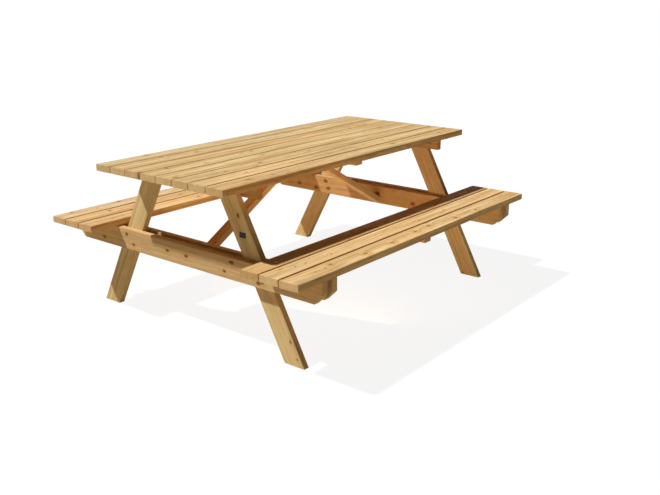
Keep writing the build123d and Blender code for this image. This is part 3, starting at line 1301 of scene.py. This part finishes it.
@dataclass
class BlankPlate:
    """The small blank plate on the outer face of the left front leg."""

    face_x: float = -0.729
    y: float = -0.323
    z: float = 0.5085
    width: float = 0.035
    height: float = 0.024
    thickness: float = 0.0014
    corner: float = 0.002
    border: float = 0.0016
    field_depth: float = 0.0004
    field_share: Span = (0.985, 0.978)
    rim: float = 0.0003
    rim_steps: int = 2
    corner_steps: int = 4
    upright: float = 0.9
    flat: float = 0.1
    smooth_angle: float = math.radians(40)
    finish: SpeckledFinish = MATT_BLACK

    def is_rim(self, edge: bmesh.types.BMEdge) -> bool:
        """Whether an edge is the outer rim of the plate's upper face."""
        level = all(abs(corner.co.z - self.thickness / 2) < TOLERANCE for corner in edge.verts)
        return level and any(abs(face.normal.z) < self.flat for face in edge.link_faces)

    def build(self) -> None:
        """Model the plate flat, with round corners and a raised border, and set it on the leg."""
        plate = box("blank_plate", (self.width, self.height, self.thickness))
        pick(plate, Part.EDGE, lambda edge: abs(edge_way(edge).z) > self.upright)
        bpy.ops.mesh.bevel(offset=self.corner, segments=self.corner_steps)
        pick(plate, Part.FACE, lambda face: face.normal.z > self.upright)
        bpy.ops.mesh.inset(thickness=self.border)
        bpy.ops.mesh.extrude_region_move(TRANSFORM_OT_translate={"value": (0, 0, -self.field_depth)})
        bpy.ops.transform.resize(value=(*self.field_share, 1), center_override=(0, 0, 0))
        pick(plate, Part.EDGE, self.is_rim)
        bpy.ops.mesh.bevel(offset=self.rim, segments=self.rim_steps)
        bpy.ops.object.mode_set(mode="OBJECT")
        turn = Matrix((-ALONG_Y, ALONG_Z, -ALONG_X)).transposed().to_4x4()
        centre = Vector((self.face_x - self.thickness / 2, self.y, self.z))
        plate.matrix_world = Matrix.Translation(centre) @ turn
        bpy.ops.object.transform_apply()
        bpy.ops.object.shade_smooth_by_angle(angle=self.smooth_angle)
        plate.data.materials.append(self.finish.material())
        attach(plate, BODY)
        LOG.info("%s: %d faces", plate.name, len(plate.data.polygons))


@dataclass(frozen=True)
class Reflector:
    """A card that throws soft light from its place towards its aim, as the ground and the wood would."""

    name: str
    place: Point
    aim: Point
    size: Span
    power: float
    colour: Colour
    spread: float

    def build(self) -> None:
        """Set the card as an area light that is itself never seen."""
        deselect_all()
        bpy.ops.object.light_add(type="AREA", location=self.place)
        card = just_added(self.name)
        card.data.shape = "RECTANGLE"
        card.data.size, card.data.size_y = self.size
        card.data.energy = self.power
        card.data.color = self.colour
        card.data.spread = math.radians(self.spread)
        card.visible_camera = False
        card.visible_glossy = False
        away = Vector(self.place) - Vector(self.aim)
        card.rotation_euler = away.to_track_quat("Z", "Y").to_euler()


@dataclass
class Studio:
    """The pale floor, the soft light and the camera."""

    floor_size: float = 400.0
    floor_drop: float = 0.0006
    floor_glow: float = 0.90
    floor_white: Colour = (0.12, 0.12, 0.12)
    floor_bounce: Colour = (0.59, 0.505, 0.385)
    sun_place: Point = (0.0, 0.0, 5.0)
    sun_towards: Point = (-0.345, 0.440, 0.830)
    sun_strength: float = 3.55
    sun_colour: Colour = (1.0, 1.03, 1.05)
    sun_angle: float = 2.0
    sky_colour: Colour = (1.0, 0.54, 0.28)
    sky_strength: float = 0.035
    reflectors: tuple[Reflector, ...] = (
        Reflector("studio_warm_card", (-0.25, -0.22, 0.03), (0.70, 0.05, 0.33), (0.9, 0.6), 5.4,
                  (1.0, 0.69, 0.40), 180.0),
        Reflector("studio_cool_card", (0.25, -0.95, 0.02), (0.72, -0.55, 0.12), (0.5, 0.4), 0.38,
                  (0.72, 1.0, 0.75), 90.0),
        Reflector("studio_edge_card", (-0.50, -1.00, 0.80), (-0.50, -0.395, 0.727), (0.8, 0.02), 0.045,
                  (1.0, 0.42, 0.08), 25.0),
        Reflector("studio_foot_card", (-0.71, -1.60, 0.10), (-0.714, -0.60, 0.14), (0.05, 0.05), 0.006,
                  (1.0, 0.85, 0.5), 20.0),
    )
    camera_place: Point = (-3.0418, -2.6389, 1.4845)
    camera_tilt: float = 72.456
    camera_turn: float = -51.24
    camera_lens: float = 45.22
    camera_sensor: float = 36.0

    @staticmethod
    def seen_and_lit(sheet: NodeSheet, lighting: Socket, seen: Socket) -> Socket:
        """Mix what the camera sees of the background with what lights the table.

        Args:
            sheet: The node tree.
            lighting: The shader for the rays that carry light.
            seen: The shader for the rays that see the background.

        Returns:
            The mixed shader.
        """
        path = sheet.add("ShaderNodeLightPath").outputs
        looks = sheet.maths("MAXIMUM", path["Is Camera Ray"], path["Is Glossy Ray"])
        looks = sheet.maths("MAXIMUM", looks, path["Is Transmission Ray"])
        return sheet.add("ShaderNodeMixShader", looks, lighting, seen).outputs[0]

    def floor(self) -> None:
        """Lay the floor, white to the eye but for the table's soft shadow."""
        deselect_all()
        bpy.ops.mesh.primitive_plane_add(size=self.floor_size, location=(0, 0, -self.floor_drop))
        ground = just_added("studio_floor")
        material, sheet = new_material("studio_floor_white")
        bounce = sheet.add("ShaderNodeBsdfDiffuse", Color=(*self.floor_bounce, 1.0)).outputs[0]
        lit = sheet.add("ShaderNodeBsdfDiffuse", Color=(*self.floor_white, 1.0)).outputs[0]
        glow = sheet.add("ShaderNodeEmission", Color=WHITE, Strength=self.floor_glow).outputs[0]
        white = sheet.add("ShaderNodeAddShader", lit, glow).outputs[0]
        sheet.add("ShaderNodeOutputMaterial", Surface=self.seen_and_lit(sheet, bounce, white))
        ground.data.materials.append(material)

    def light(self) -> None:
        """Set the sun, the reflectors and a little even light all round."""
        deselect_all()
        bpy.ops.object.light_add(type="SUN", location=self.sun_place)
        sun = just_added("studio_sun")
        sun.data.energy = self.sun_strength
        sun.data.color = self.sun_colour
        sun.data.angle = math.radians(self.sun_angle)
        sun.rotation_euler = Vector(self.sun_towards).to_track_quat("Z", "Y").to_euler()
        for reflector in self.reflectors:
            reflector.build()
        world = bpy.data.worlds.new("studio_world")
        bpy.context.scene.world = world
        world.use_nodes = True
        sheet = NodeSheet(world.node_tree)
        sky = (*self.sky_colour, 1.0)
        even = sheet.add("ShaderNodeBackground", Color=sky, Strength=self.sky_strength).outputs[0]
        white = sheet.add("ShaderNodeBackground", Color=WHITE, Strength=1.0).outputs[0]
        sheet.add("ShaderNodeOutputWorld", Surface=self.seen_and_lit(sheet, even, white))
        bpy.context.scene.view_settings.view_transform = "Standard"

    def camera(self) -> None:
        """Set the camera at the photo's viewing angle."""
        deselect_all()
        bpy.ops.object.camera_add(location=self.camera_place)
        camera = just_added("studio_camera")
        camera.rotation_euler = (math.radians(self.camera_tilt), 0.0, math.radians(self.camera_turn))
        camera.data.sensor_fit = "HORIZONTAL"
        camera.data.sensor_width = self.camera_sensor
        camera.data.lens = self.camera_lens
        camera.data.dof.use_dof = False
        bpy.context.scene.camera = camera

    def build(self) -> None:
        """Set up the floor, the light and the camera."""
        self.floor()
        self.light()
        self.camera()
        LOG.info("studio: floor, light and camera")


def main() -> None:
    """Build every sub-assembly in order, then the studio."""
    logging.basicConfig(level=logging.INFO, format="%(name)s %(message)s")
    fixings = Fixings()
    workshop = Workshop(fixings, PineFinish())
    benches = [Bench(side) for side in Side]
    end_frames = [EndFrame(end) for end in End]
    for assembly in (Tabletop(), *benches, *end_frames, Bracing()):
        assembly.build(workshop)
    workshop.sweep_up()
    fixings.build()
    BlankPlate().build()
    Studio().build()
    LOG.info("%d planks of %d nodes", workshop.made, len(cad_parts))


if __name__ == "__main__":
    main()
